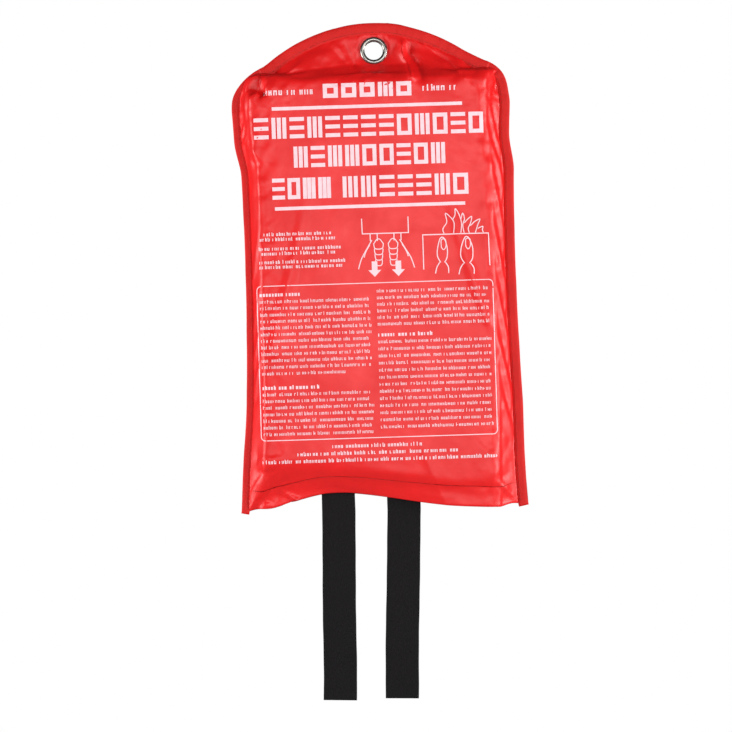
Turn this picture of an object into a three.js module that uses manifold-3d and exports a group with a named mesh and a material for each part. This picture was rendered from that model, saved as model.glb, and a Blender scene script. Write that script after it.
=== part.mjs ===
// Fire blanket in a hanging pouch.
//
// Frame: origin at the centre of the eyelet, in the plane where the two panels are sewn together.
// +X is to the right, +Y to the rear (the printed panel faces -Y), +Z up. Millimetres.

import * as THREE from "three";
import { mergeVertices } from "three/addons/utils/BufferGeometryUtils.js";
import Module from "manifold-3d";

// ---- driving dimensions -------------------------------------------------------------------------

const GAP = 0.3; // between pieces that touch on the real object

// pouch outline, right half: arch, kink, shoulder, side
const ARCH_RADIUS = 127;
const ARCH_TOP = 21;
const KINK = [82, -9];
const SHOULDER = [104.3, -42];
const HEM_CORNER = [107.5, -342];

// panels
const PANEL_THICK = 0.6;
const SEAM_OUTER_Y = 0.8; // outer face of a panel where the two lie together
const FRONT_OUTER_Y = 16.4; // outer face of the front panel over the pack
const REAR_OUTER_Y = 14.2;
const PANEL_INSET = 1.0; // from the outer edge of the binding to the cut edge of the panel
const HEM_DEPTH = 16;
const HEM_STITCH = 15; // above the bottom edge
const SLOPE_TOP = -11; // above this the panels lie together, round the eyelet
const SLOPE_FOOT = -26; // below this they stand at full depth
const TAPE_MARGIN = 1; // flat cloth beside the binding
const SLOPE_WIDTH = 7.4; // from there to full depth over the pack
const PACK_MARGIN = 85; // half width over which the panels stand at full depth
const SHORT_ROW_MARGIN = 0.62; // share of the half width, in the short rows near the arch's top
const SHORT_ROW_FACE = 0.9;

// binding
const TAPE_THICK = 0.5;
const SIDE_BINDING = 7.5;
const TOP_BINDING = 9;
const TAPE_INNER_Y = SEAM_OUTER_Y + GAP;
const TAPE_OUTER_Y = TAPE_INNER_Y + TAPE_THICK;

// thread
const THREAD = 0.4;
const STITCH_FROM_TAPE_EDGE = 1.6;

// eyelet
const EYELET_HOLE = 6.8;
const EYELET_WALL = 0.5;
const EYELET_FLANGE = 10.3;
const PANEL_HOLE = EYELET_HOLE + EYELET_WALL + 0.4;

// folded blanket
const PACK_WIDTH = 168;
const PACK_TOP = -27;
const PACK_BOTTOM = -307;
const PACK_FRONT = -12;
const PACK_REAR = 12;
const PLEATS = 7;
const LAST_PLEAT = 120; // the short turn left over at the rear
const BLANKET_HEM = 14;

// pull tapes
const TAPE_WIDTH = 25;
const WEB_THICK = 1.4;
const WEB_FROM_PACK = 0.9; // room for the hem stitch under the tape
const BOX_WIDTH = 19; // the rectangle of thread that holds the tape on
const BOX_HEIGHT = 32;
const BOX_FROM_END = 4;
const SEWN_TOP = -262;
const SEWN_FOOT = -308.5; // where the tape leaves the pack and slants to the mouth
const HINGE_Z = -344;
const SWING_ROOM = 1; // the tail's top edge turns in the space over the hinge
const TAIL_END = -486;
const TAPES = [
  { side: "left", x: -37, lean: -0.024 },
  { side: "right", x: 12, lean: -0.043 },
];

// ---- materials ----------------------------------------------------------------------------------

const finish = (color, roughness, metalness = 0) =>
  new THREE.MeshStandardMaterial({ color, roughness, metalness });
const coatedFabric = finish(0xe23a3c, 0.4);
const tapeFabric = finish(0xdc3436, 0.55);
const redThread = finish(0xb8201f, 0.7);
const nickel = finish(0xc8c6c0, 0.25, 1);
const glassCloth = finish(0xe9e6dc, 0.85);
const whiteThread = finish(0xf2f0ea, 0.7);
const webbing = finish(0x242124, 0.8);

const fireBlanket = new THREE.Group();

function addPiece(name, geometry, material) {
  const mesh = new THREE.Mesh(geometry, material);
  mesh.name = name;
  fireBlanket.add(mesh);
}

// ---- shared geometry ----------------------------------------------------------------------------

/** A solid through closed rings of equally many points, capped by triangulating cap. */
function loft(rings, cap, closed = false) {
  const positions = rings.flat(2);
  const size = rings[0].length;
  const index = [];
  const steps = closed ? rings.length : rings.length - 1;
  for (let i = 0; i < steps; i++) {
    const next = (i + 1) % rings.length;
    for (let j = 0; j < size; j++) {
      const a = i * size + j;
      const b = i * size + ((j + 1) % size);
      const c = next * size + j;
      const d = next * size + ((j + 1) % size);
      index.push(a, b, d, a, d, c);
    }
  }
  if (!closed) {
    const last = (rings.length - 1) * size;
    const contour = cap.map(([u, v]) => new THREE.Vector2(u, v));
    const turn = Math.sign(THREE.ShapeUtils.area(contour));
    for (const [a, p, q] of THREE.ShapeUtils.triangulateShape(contour, [])) {
      const same = Math.sign(THREE.ShapeUtils.area([contour[a], contour[p], contour[q]])) === turn;
      const [b, c] = same ? [p, q] : [q, p];
      index.push(a, c, b);
      index.push(last + a, last + b, last + c);
    }
  }
  return outward(positions, index);
}

/** Indexed geometry from flat positions, turned so that its faces point out. */
function outward(positions, index) {
  let volume = 0;
  const at = (i) => new THREE.Vector3(...positions.slice(3 * i, 3 * i + 3));
  for (let i = 0; i < index.length; i += 3) {
    volume += at(index[i]).dot(at(index[i + 1]).cross(at(index[i + 2])));
  }
  if (volume < 0) {
    for (let i = 0; i < index.length; i += 3) [index[i], index[i + 1]] = [index[i + 1], index[i]];
  }
  const geometry = new THREE.BufferGeometry();
  geometry.setAttribute("position", new THREE.Float32BufferAttribute(positions, 3));
  geometry.setIndex(index);
  return geometry;
}

/** A section of (inset, y) points carried along {point, inward} frames in the XZ plane. */
function sweep(frames, section) {
  const rings = frames.map(({ point, inward }) =>
    section.map(([inset, y]) => [point.x + inset * inward.x, y, point.y + inset * inward.y])
  );
  return loft(rings, section);
}

const box2 = (u0, u1, v0, v1) => [[u0, v0], [u1, v0], [u1, v1], [u0, v1]];

// ---- pouch outline ------------------------------------------------------------------------------

const point2 = ([x, z]) => new THREE.Vector2(x, z);
const archAngle = Math.asin(KINK[0] / ARCH_RADIUS);
const arch = new THREE.EllipseCurve(
  0, ARCH_TOP - ARCH_RADIUS, ARCH_RADIUS, ARCH_RADIUS, Math.PI / 2, Math.PI / 2 - archAngle, true
);
const shoulder = new THREE.CubicBezierCurve(
  point2(KINK), new THREE.Vector2(95, -14), new THREE.Vector2(SHOULDER[0], -24), point2(SHOULDER)
);
const side = new THREE.CubicBezierCurve(
  point2(SHOULDER), new THREE.Vector2(99, -140), new THREE.Vector2(101, -230), point2(HEM_CORNER)
);

/** Frames along a curve of the right-hand outline, walked downwards; inward points to the fabric. */
function framesAlong(curve, from, to, steps, mirror = 1) {
  return Array.from({ length: steps + 1 }, (_, i) => {
    const t = from + ((to - from) * i) / steps;
    const point = curve.getPoint(t);
    const tangent = curve.getTangent(t);
    return {
      point: new THREE.Vector2(mirror * point.x, point.y),
      inward: new THREE.Vector2(mirror * tangent.y, -tangent.x),
    };
  });
}

const archFrames = framesAlong(arch, 0, 1, 60);
const sideFrames = [...framesAlong(shoulder, 0, 1, 24), ...framesAlong(side, 0, 1, 60)];

/** Half width at height z of the outline drawn in by inset all round, read off its own points. */
function halfWidth(z, inset = 0) {
  const edge = [...archFrames, ...sideFrames].map(({ point, inward }) =>
    point.clone().addScaledVector(inward, inset)
  );
  const below = edge.findIndex((p) => p.y <= z);
  if (below <= 0) return edge[below === 0 ? 0 : edge.length - 1].x;
  const a = edge[below - 1];
  const b = edge[below];
  return a.x + ((a.y - z) / (a.y - b.y || 1)) * (b.x - a.x);
}

/** Distance of a point of the pouch from one stretch of its outline. */
const distanceTo = (frames, x, z) =>
  Math.min(...frames.map(({ point }) => Math.hypot(Math.abs(x) - point.x, z - point.y)));

// ---- panels -------------------------------------------------------------------------------------

const clamp01 = (t) => Math.min(1, Math.max(0, t));
const ease = (t) => (1 - Math.cos(Math.PI * clamp01(t))) / 2;

/** How far a point lies past the tape edges, over the width of the slope: 0 on the flat margin. */
function pastMargin(x, z) {
  const fromSide = (distanceTo(sideFrames, x, z) - SIDE_BINDING - TAPE_MARGIN) / SLOPE_WIDTH;
  const fromArch = (distanceTo(archFrames, x, z) - TOP_BINDING - TAPE_MARGIN) / SLOPE_WIDTH;
  return Math.min(fromSide, fromArch);
}

/** Depth of a panel's outer face from the seam plane. */
function panelDepth(x, z, full) {
  const down = ease((SLOPE_TOP - z) / (SLOPE_TOP - SLOPE_FOOT));
  return SEAM_OUTER_Y + (full - SEAM_OUTER_Y) * ease(pastMargin(x, z)) * down;
}

/** Half width of a row at which the panel starts to leave the seam plane. */
function slopeEnd(z) {
  let x = halfWidth(z, PANEL_INSET);
  while (x > 2 && pastMargin(x, z) <= 0) x -= 0.1;
  return x;
}

/** Thickness along Y that keeps the cloth's own thickness on a slope. */
function thicknessAlongY(x, z, full) {
  const step = 0.5;
  const dx = (panelDepth(x + step, z, full) - panelDepth(x - step, z, full)) / (2 * step);
  const dz = (panelDepth(x, z + step, full) - panelDepth(x, z - step, full)) / (2 * step);
  return PANEL_THICK * Math.min(2.2, Math.hypot(1, dx, dz));
}

const HEM_TOP = HEM_CORNER[1] + HEM_DEPTH;
const panelRows = [
  HEM_CORNER[1], HEM_CORNER[1] + HEM_STITCH, HEM_TOP,
  HEM_TOP + 0.4, -290, -250, -205, -160, -115, -75, -50, -36,
  ...[0, 0.2, 0.4, 0.6, 0.8, 1].map((t) => SLOPE_FOOT + t * (SLOPE_TOP - SLOPE_FOOT)),
  KINK[1] - 0.85, -5, 1, 7, 12, 15.5, 18,
];
const APEX_ROW = ARCH_TOP - PANEL_INSET - 0.3;

/** Columns of a row: flat margin under the binding, slope, then the face over the pack. */
function rowColumns(z) {
  const edge = halfWidth(z, PANEL_INSET);
  const outer = Math.max(SHORT_ROW_MARGIN * edge, Math.min(slopeEnd(z), edge - 2));
  const inner = Math.min(PACK_MARGIN, SHORT_ROW_FACE * outer);
  const slope = [0, 0.25, 0.5, 0.75, 1].map((t) => outer + t * (inner - outer));
  const half = [edge, ...slope, 0.5 * inner];
  return [...half.map((x) => -x), 0, ...half.reverse()];
}

function panelShell(full, facing) {
  const rows = [...panelRows, APEX_ROW];
  const rings = rows.map((z) => {
    const columns = rowColumns(z);
    const hem = z <= HEM_TOP;
    const outer = columns.map((x) => [x, facing * panelDepth(x, z, full), z]);
    const inner = columns.map((x) => {
      const depth = panelDepth(x, z, full);
      const folded = hem && depth > 0.9 * full ? PANEL_THICK : 0;
      const thick = Math.min(thicknessAlongY(x, z, full) + folded, depth - 0.2);
      return [x, facing * (depth - thick), z];
    });
    return [...outer, ...inner.reverse()];
  });
  const count = rings[0].length;
  const width = count / 2;
  const positions = rings.flat(2);
  const index = [];
  const quad = (a, b, c, d) => index.push(a, b, c, a, c, d);
  for (let i = 0; i < rings.length - 1; i++) {
    for (let j = 0; j < count; j++) {
      const k = (j + 1) % count;
      quad(i * count + j, i * count + k, (i + 1) * count + k, (i + 1) * count + j);
    }
  }
  const top = (rings.length - 1) * count;
  for (let j = 0; j < width - 1; j++) {
    quad(j, count - 1 - j, count - 2 - j, j + 1);
    quad(top + j, top + j + 1, top + count - 2 - j, top + count - 1 - j);
  }
  return outward(positions, index);
}

const wasm = await Module();
wasm.setup();

function toSolid(geometry) {
  const bare = geometry.clone();
  bare.deleteAttribute("normal");
  bare.deleteAttribute("uv");
  const merged = mergeVertices(bare, 1e-4);
  return new wasm.Manifold(
    new wasm.Mesh({
      numProp: 3,
      vertProperties: merged.attributes.position.array,
      triVerts: new Uint32Array(merged.index.array),
    })
  );
}

function fromSolid(solid) {
  const mesh = solid.getMesh();
  const geometry = new THREE.BufferGeometry();
  geometry.setAttribute("position", new THREE.BufferAttribute(mesh.vertProperties, 3));
  geometry.setIndex(new THREE.BufferAttribute(mesh.triVerts, 1));
  return geometry;
}

/** A cylinder through both panels on the eyelet's axis, which runs along Y. */
const eyeletPunch = toSolid(new THREE.CylinderGeometry(PANEL_HOLE, PANEL_HOLE, 20, 32));

/** The header round the eyelet is flat and parts from the shaped panel at the crease below it. */
function addPanel(name, full, facing) {
  const cloth = toSolid(panelShell(full, facing)).subtract(eyeletPunch);
  const header = cloth.trimByPlane([0, 0, 1], SLOPE_TOP + GAP / 2);
  const panel = cloth.trimByPlane([0, 0, -1], GAP / 2 - SLOPE_TOP);
  addPiece(`${name}_header`, fromSolid(header), coatedFabric);
  addPiece(`${name}_panel`, fromSolid(panel), coatedFabric);
}

addPanel("front", FRONT_OUTER_Y, -1);
addPanel("rear", REAR_OUTER_Y, 1);

// ---- binding: tape folded over the cut edges, front arm, web and rear arm in one section ---------

function bindingSection(arm) {
  return [
    [0, -TAPE_OUTER_Y], [arm, -TAPE_OUTER_Y], [arm, -TAPE_INNER_Y], [TAPE_THICK, -TAPE_INNER_Y],
    [TAPE_THICK, TAPE_INNER_Y], [arm, TAPE_INNER_Y], [arm, TAPE_OUTER_Y], [0, TAPE_OUTER_Y],
  ];
}

/** Thread lying on the front arm of a binding, inset from the outer edge. */
const threadOnTape = (inset) =>
  box2(inset, inset + THREAD, -TAPE_OUTER_Y - GAP - THREAD, -TAPE_OUTER_Y - GAP);

const TAPE_END = 0.012; // share of a curve left bare, a slit between top tape and side tape
for (const [name, mirror] of [["left", -1], ["right", 1]]) {
  const run = [
    ...framesAlong(shoulder, TAPE_END, 1, 8, mirror),
    ...framesAlong(side, 0, 1, 12, mirror).slice(1),
  ];
  const stitch = threadOnTape(SIDE_BINDING - STITCH_FROM_TAPE_EDGE);
  addPiece(`binding_${name}`, sweep(run, bindingSection(SIDE_BINDING)), tapeFabric);
  addPiece(`binding_stitch_${name}`, sweep(run, stitch), redThread);
}
const overArch = [
  ...framesAlong(arch, 0, 1 - TAPE_END, 10, -1).reverse(),
  ...framesAlong(arch, 0, 1 - TAPE_END, 10, 1).slice(1),
];
addPiece("binding_top", sweep(overArch, bindingSection(TOP_BINDING)), tapeFabric);
addPiece(
  "binding_stitch_top",
  sweep(overArch, threadOnTape(TOP_BINDING - STITCH_FROM_TAPE_EDGE)),
  redThread
);

// ---- hem stitches: thread across each panel, following its section --------------------------------

function hemStitch(full, facing) {
  const z = HEM_CORNER[1] + HEM_STITCH;
  const rings = rowColumns(z).slice(1, -1).map((x) => {
    const slope = panelDepth(x + 0.5, z, full) - panelDepth(x - 0.5, z, full);
    const length = Math.hypot(1, slope);
    const lifted = (distance) => [
      x - (slope / length) * distance,
      facing * (panelDepth(x, z, full) + distance / length),
    ];
    const near = lifted(GAP + 0.2);
    const far = lifted(GAP + 0.2 + THREAD);
    return [[...near, z], [...far, z], [...far, z + THREAD], [...near, z + THREAD]];
  });
  return loft(rings, box2(0, 1, 0, 1));
}

addPiece("front_hem_stitch", hemStitch(FRONT_OUTER_Y, -1), redThread);
addPiece("rear_hem_stitch", hemStitch(REAR_OUTER_Y, 1), redThread);

// ---- eyelet and washer, turned about Y: profile points are (radius, y) ----------------------------

function turned(profile, segments = 40) {
  const points = [...profile, profile[0]].map(([r, y]) => new THREE.Vector2(r, y));
  const geometry = new THREE.LatheGeometry(points, segments);
  geometry.deleteAttribute("normal");
  geometry.deleteAttribute("uv");
  const merged = mergeVertices(geometry, 1e-4);
  return outward([...merged.attributes.position.array], [...merged.index.array]);
}

const frontSeat = -(SEAM_OUTER_Y + GAP);
const washerSeat = SEAM_OUTER_Y + GAP;
const washerBack = washerSeat + 0.6;
const lipSeat = washerBack + GAP;
const flangeCrown = Array.from({ length: 7 }, (_, i) => {
  const angle = (Math.PI * i) / 6;
  const middle = (EYELET_HOLE + EYELET_FLANGE) / 2;
  const reach = (EYELET_FLANGE - EYELET_HOLE) / 2;
  return [middle + reach * Math.cos(angle), frontSeat - 0.45 - 1.2 * Math.sin(angle)];
});
addPiece(
  "eyelet",
  turned([
    [EYELET_FLANGE, frontSeat],
    ...flangeCrown,
    [EYELET_HOLE, lipSeat + 0.9],
    [EYELET_HOLE + 0.9, lipSeat + 0.9],
    [EYELET_HOLE + 1.6, lipSeat + 0.5],
    [EYELET_HOLE + 1.6, lipSeat],
    [EYELET_HOLE + EYELET_WALL, lipSeat],
    [EYELET_HOLE + EYELET_WALL, frontSeat],
  ]),
  nickel
);
addPiece(
  "eyelet_washer",
  turned(box2(PANEL_HOLE, EYELET_FLANGE, washerSeat, washerBack)),
  nickel
);

// ---- folded blanket: pleats stacked front to rear, joined by turns at top and bottom --------------

const pleatPitch = (PACK_REAR - PACK_FRONT) / PLEATS;
const pleatGap = GAP + 0.05;

/** Outline of the fan fold in the YZ plane: down one side of the cloth and back along the other. */
function fanFold() {
  const centreY = (i) => PACK_FRONT + (i + 0.5) * pleatPitch;
  const outerR = pleatPitch - pleatGap / 2;
  const innerR = pleatGap / 2;
  const half = (pleatPitch - pleatGap) / 2;
  const faces = { low: [], high: [] };
  faces.low.push([centreY(0) - half, PACK_BOTTOM]);
  faces.high.push([centreY(0) + half, PACK_BOTTOM]);
  for (let i = 0; i < PLEATS - 1; i++) {
    const top = i % 2 === 0;
    const middleY = (centreY(i) + centreY(i + 1)) / 2;
    const middleZ = top ? PACK_TOP - outerR : PACK_BOTTOM + outerR;
    const turn = (r, steps) =>
      Array.from({ length: steps + 1 }, (_, k) => {
        const angle = Math.PI - (Math.PI * k) / steps;
        return [middleY + r * Math.cos(angle), middleZ + (top ? 1 : -1) * r * Math.sin(angle)];
      });
    faces[top ? "low" : "high"].push(...turn(outerR, 6));
    faces[top ? "high" : "low"].push(...turn(innerR, 2));
  }
  const endZ = PACK_BOTTOM + LAST_PLEAT;
  faces.low.push([centreY(PLEATS - 1) - half, endZ]);
  faces.high.push([centreY(PLEATS - 1) + half, endZ]);
  return [...faces.low, ...faces.high.reverse()];
}

/** A prism along X of an outline in the YZ plane. */
function prismX(outline, x0, x1) {
  const ring = (x) => outline.map(([y, z]) => [x, y, z]);
  return loft([ring(x0), ring(x1)], outline);
}

addPiece("folded_blanket", prismX(fanFold(), -PACK_WIDTH / 2, PACK_WIDTH / 2), glassCloth);

const packStitch = (y, z) =>
  prismX(box2(y, y + GAP, z, z + THREAD), -PACK_WIDTH / 2 + 2, PACK_WIDTH / 2 - 2);
const topHem = packStitch(PACK_FRONT - 2 * GAP, PACK_BOTTOM + BLANKET_HEM);
const bottomHem = packStitch(PACK_REAR + GAP, PACK_BOTTOM + LAST_PLEAT - BLANKET_HEM);
addPiece("blanket_top_hem_stitch", topHem, whiteThread);
addPiece("blanket_bottom_hem_stitch", bottomHem, whiteThread);

// ---- pull tapes: sewn end on the first pleat, slant to the mouth, and the free tail ----------------

const webRear = PACK_FRONT - WEB_FROM_PACK;
const webFront = webRear - WEB_THICK;
const mouthZ = HINGE_Z + SWING_ROOM;
const slantRun = SEWN_FOOT - mouthZ;
const slantDrop = -(webFront + webRear) / 2;
const slantBevel = (WEB_THICK / 2) * Math.tan(Math.atan2(slantDrop, slantRun) / 2);
const sewnOutline = [
  [webFront, SEWN_TOP],
  [webFront, SEWN_FOOT - slantBevel],
  [-WEB_THICK / 2, mouthZ],
  [WEB_THICK / 2, mouthZ],
  [webRear, SEWN_FOOT + slantBevel],
  [webRear, SEWN_TOP],
];

/** A closed thread loop sewn round the end of a tape, lying on the tape's front face. */
function stitchBox(centreX) {
  const y1 = webFront - GAP;
  const y0 = y1 - GAP;
  const top = SEWN_TOP - BOX_FROM_END;
  const middleZ = top - BOX_HEIGHT / 2;
  const corners = box2(-BOX_WIDTH / 2, BOX_WIDTH / 2, -BOX_HEIGHT / 2, BOX_HEIGHT / 2);
  const rings = corners.map(([u, v]) => {
    const x = centreX + u;
    const z = middleZ + v;
    const innerX = x - Math.sign(u) * THREAD;
    const innerZ = z - Math.sign(v) * THREAD;
    return [[x, y0, z], [x, y1, z], [innerX, y1, innerZ], [innerX, y0, innerZ]];
  });
  return loft(rings, [], true);
}

for (const { side: name, x, lean } of TAPES) {
  const half = TAPE_WIDTH / 2;
  addPiece(`strap_${name}_sewn_end`, prismX(sewnOutline, x - half, x + half), webbing);
  addPiece(`strap_${name}_stitch_box`, stitchBox(x), redThread);
  const tailTop = HINGE_Z - GAP;
  const tailRing = (z) => {
    const centre = x + lean * (tailTop - z);
    return [
      [centre - half, -WEB_THICK / 2, z], [centre + half, -WEB_THICK / 2, z],
      [centre + half, WEB_THICK / 2, z], [centre - half, WEB_THICK / 2, z],
    ];
  };
  const tail = loft([tailRing(tailTop), tailRing(TAIL_END)], box2(0, 1, 0, 1));
  addPiece(`strap_${name}_tail`, tail, webbing);
}

export default fireBlanket;
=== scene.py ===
import math
import random

import bmesh
import bpy
import numpy as np
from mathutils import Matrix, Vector
from mathutils.bvhtree import BVHTree


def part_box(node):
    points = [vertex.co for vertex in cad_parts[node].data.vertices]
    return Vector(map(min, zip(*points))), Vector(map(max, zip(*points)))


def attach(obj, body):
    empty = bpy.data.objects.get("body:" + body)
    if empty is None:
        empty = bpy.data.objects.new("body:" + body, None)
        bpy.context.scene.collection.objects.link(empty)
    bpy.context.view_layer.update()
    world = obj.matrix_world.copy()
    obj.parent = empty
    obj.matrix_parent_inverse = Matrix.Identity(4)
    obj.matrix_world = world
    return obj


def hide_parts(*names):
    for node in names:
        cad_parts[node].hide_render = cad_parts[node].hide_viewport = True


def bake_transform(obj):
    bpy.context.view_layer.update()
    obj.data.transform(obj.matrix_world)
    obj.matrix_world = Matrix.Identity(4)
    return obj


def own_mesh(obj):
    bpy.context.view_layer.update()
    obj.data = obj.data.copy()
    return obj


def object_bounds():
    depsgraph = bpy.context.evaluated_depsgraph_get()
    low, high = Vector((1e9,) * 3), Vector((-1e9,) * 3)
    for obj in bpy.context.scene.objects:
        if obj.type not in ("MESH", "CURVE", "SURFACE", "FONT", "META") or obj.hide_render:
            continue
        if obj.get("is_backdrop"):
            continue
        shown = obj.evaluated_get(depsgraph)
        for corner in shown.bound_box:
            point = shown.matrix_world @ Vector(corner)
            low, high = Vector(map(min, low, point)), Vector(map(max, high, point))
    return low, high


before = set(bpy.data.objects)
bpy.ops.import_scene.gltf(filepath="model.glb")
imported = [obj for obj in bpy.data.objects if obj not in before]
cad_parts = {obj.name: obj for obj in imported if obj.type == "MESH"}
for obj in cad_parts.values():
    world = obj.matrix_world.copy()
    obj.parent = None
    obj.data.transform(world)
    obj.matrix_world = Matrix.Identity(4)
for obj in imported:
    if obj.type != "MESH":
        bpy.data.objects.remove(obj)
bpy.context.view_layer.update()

MM = 0.001

# ---- Pouch panels -----------------------------------------------------------
# Front and rear are cut alike from woven polyester with a glossy red coating, wider than the filled
# pouch, so that the pack draws the sides in and the spare cloth wrinkles. The bottom edge is turned
# up inside as a hem and left open as the mouth.

ARCH_RADIUS = 127 * MM
KINK = (82 * MM, -9 * MM)  # where the top tape ends and the shoulder begins
SHOULDER = (104.3 * MM, -42 * MM)
CUT_HALF_WIDTH = 111 * MM  # of the flat cut, from the shoulder down
RIGHT_TAPE = 7.5 * MM
LEFT_TAPE = 5.6 * MM  # the left one sits further over the edge
TOP_TAPE = 9 * MM
CLOTH = 0.3 * MM
SEAM_Y = 0.35 * MM  # how far a panel lies from the seam plane along its edges
HEM_ROWS = 5  # rows of the grid that the turned-up hem covers
HEM_LAYER = 0.8 * MM
EYELET_REACH = 10.3 * MM
FRONT_FILL = 14.6 * MM  # pack, pull tape and stitches
REAR_FILL = 13.0 * MM
TAPE_FOOT_Z = -305.5 * MM  # where the pull tapes leave the pack and slant to the mouth
MOUTH_Z = -329 * MM
PACK_TAPE_Y = -13.2 * MM  # middle of the pull tapes where they lie on the pack
CLOTH_HOLE = 8.3 * MM  # radius cut out of each panel for the eyelet's barrel

arch_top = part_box("binding_top")[1].z
hem_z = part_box("front_panel")[0].z
corner_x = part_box("binding_right")[1].x
pack_low, pack_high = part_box("folded_blanket")


def smooth01(t):
    t = np.clip(t, 0, 1)
    return t * t * (3 - 2 * t)


def bezier(points, steps):
    """Points along a cubic through four control points, as rows (x, z)."""
    t = np.linspace(0, 1, steps + 1)[:, None]
    a, b, c, d = (np.array(p) for p in points)
    return (1 - t) ** 3 * a + 3 * t * (1 - t) ** 2 * b + 3 * t * t * (1 - t) * c + t ** 3 * d


arch_angles = np.linspace(0, math.asin(KINK[0] / ARCH_RADIUS), 61)
arch_line = np.stack(
    [ARCH_RADIUS * np.sin(arch_angles), arch_top - ARCH_RADIUS * (1 - np.cos(arch_angles))], axis=1
)
shoulder_line = bezier([KINK, (95 * MM, -14 * MM), (SHOULDER[0], -24 * MM), SHOULDER], 30)
side_line = bezier([SHOULDER, (99 * MM, -140 * MM), (101 * MM, -230 * MM), (corner_x, hem_z)], 80)
side_seam = np.concatenate([shoulder_line, side_line[1:]])
half_outline = np.concatenate([arch_line, side_seam[1:]])


def half_width(z):
    """Half width of the filled pouch at height z."""
    return np.interp(-np.asarray(z), -half_outline[:, 1], half_outline[:, 0])


def drawn_in(z):
    """How far the filling has drawn each side in from where it was cut."""
    return smooth01((KINK[1] - np.asarray(z)) / (50 * MM)) * np.maximum(
        0, CUT_HALF_WIDTH - half_width(z)
    )


def distance_to(line, x, z):
    """Distance from points of the right half to a line of points."""
    gaps = np.stack([np.abs(x), z], axis=-1)[..., None, :] - line
    return np.sqrt((gaps ** 2).sum(-1)).min(-1)


def tape_reach(x):
    """How far in from the outline the side tape reaches."""
    return np.where(np.asarray(x) < 0, LEFT_TAPE, RIGHT_TAPE)


def hem_rise(x, z):
    """The mouth rides up over the pack, most of all left of the middle, not at the side seams."""
    off = (x + 40 * MM) / np.where(x > -40 * MM, 58 * MM, 36 * MM)
    free = smooth01((corner_x - RIGHT_TAPE - np.abs(x)) / (15 * MM))
    return (9.5 * np.exp(-off * off) - 3) * MM * free * smooth01((-250 * MM - z) / (90 * MM))


def swayed(x, z):
    """The sewn pouch isn't quite square: its shoulders and its mouth sit to the left."""
    shoulders = smooth01((z + 92 * MM) / (28 * MM)) * smooth01((-10 * MM - z) / (26 * MM))
    arch = smooth01((z + 12 * MM) / (12 * MM)) * smooth01((x - 10 * MM) / (25 * MM))
    return x - (3.6 * shoulders + 5 * arch + 2.2 * smooth01((-255 * MM - z) / (70 * MM))) * MM


def tape_y(z):
    """Middle of the pull tapes: down the front of the pack, then back to the seam plane."""
    t = np.clip((TAPE_FOOT_Z - np.asarray(z)) / (TAPE_FOOT_Z - MOUTH_Z), 0, 1)
    return PACK_TAPE_Y * (1 - 0.75 * t - 0.25 * smooth01(t))


FILL_LEFT, FILL_RIGHT, FILL_TOP = -93.5 * MM, 89.5 * MM, -16 * MM


def filling(x, z, depth):
    """Height of the soft-edged pack over the seam plane, with the slant under it to the mouth."""
    across = np.clip(np.minimum((x - FILL_LEFT) / (7.5 * MM), (FILL_RIGHT - x) / (10 * MM)), 0, 1)
    round_x = 1 - (1 - across) ** 2
    round_z = 1 - (1 - np.clip((FILL_TOP - z) / (11 * MM), 0, 1)) ** 2
    crown = 1 - np.clip(np.abs(x) / FILL_RIGHT, 0, 1) ** 2
    pack = (depth + 0.8 * MM * crown) * np.sqrt(round_x * round_z)
    open_side = smooth01((x - 30 * MM - 0.4 * (-300 * MM - z)) / (6 * MM))
    slant = np.minimum(depth + 1 * MM, 2.6 * MM - tape_y(z) + 10 * MM * open_side)
    slant = slant * np.sqrt(round_x)
    return np.where(z < TAPE_FOOT_Z + 3 * MM, slant, pack)


CELL = 3.0 * MM
EDGE_COLUMNS = np.array([0, 2.5, 5, 7.5]) * MM
row_z = np.linspace(hem_z, arch_top - 0.5 * MM, int((arch_top - hem_z) / CELL) + 1)
inner_count = int(2 * (CUT_HALF_WIDTH - RIGHT_TAPE) / CELL)


def cut_grid():
    """Flat cut of a panel as rows of (x, z), hem first, with columns that follow the side tapes."""
    rows = []
    for z in row_z:
        edge = float(half_width(z) + drawn_in(z))
        outer = edge - np.minimum(EDGE_COLUMNS, edge * 0.6 * EDGE_COLUMNS / RIGHT_TAPE)
        inner = np.linspace(-outer[-1], outer[-1], inner_count + 1)[1:-1]
        xs = np.concatenate([-outer, inner, outer[::-1]])
        rows.append(np.stack([xs, z + hem_rise(xs, z)], axis=1))
    return np.array(rows)


def grid_faces(rows, columns):
    i, j = np.meshgrid(np.arange(rows - 1), np.arange(columns - 1), indexing="ij")
    a = (i * columns + j).ravel()
    return np.stack([a, a + 1, a + columns + 1, a + columns], axis=1).tolist()


def mesh_object(name, points, faces):
    mesh = bpy.data.meshes.new(name)
    mesh.from_pydata([tuple(p) for p in points], [], faces)
    mesh.update()
    mesh.shade_smooth()
    piece = bpy.data.objects.new(name, mesh)
    bpy.context.scene.collection.objects.link(piece)
    return piece


def removed(piece):
    mesh = piece.data
    bpy.data.objects.remove(piece)
    bpy.data.meshes.remove(mesh)


SIM_SCALE = 10  # the cloth solver works best on metre-sized cloth
FILL_FRAMES = 16
LAST_FRAME = 32


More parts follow.
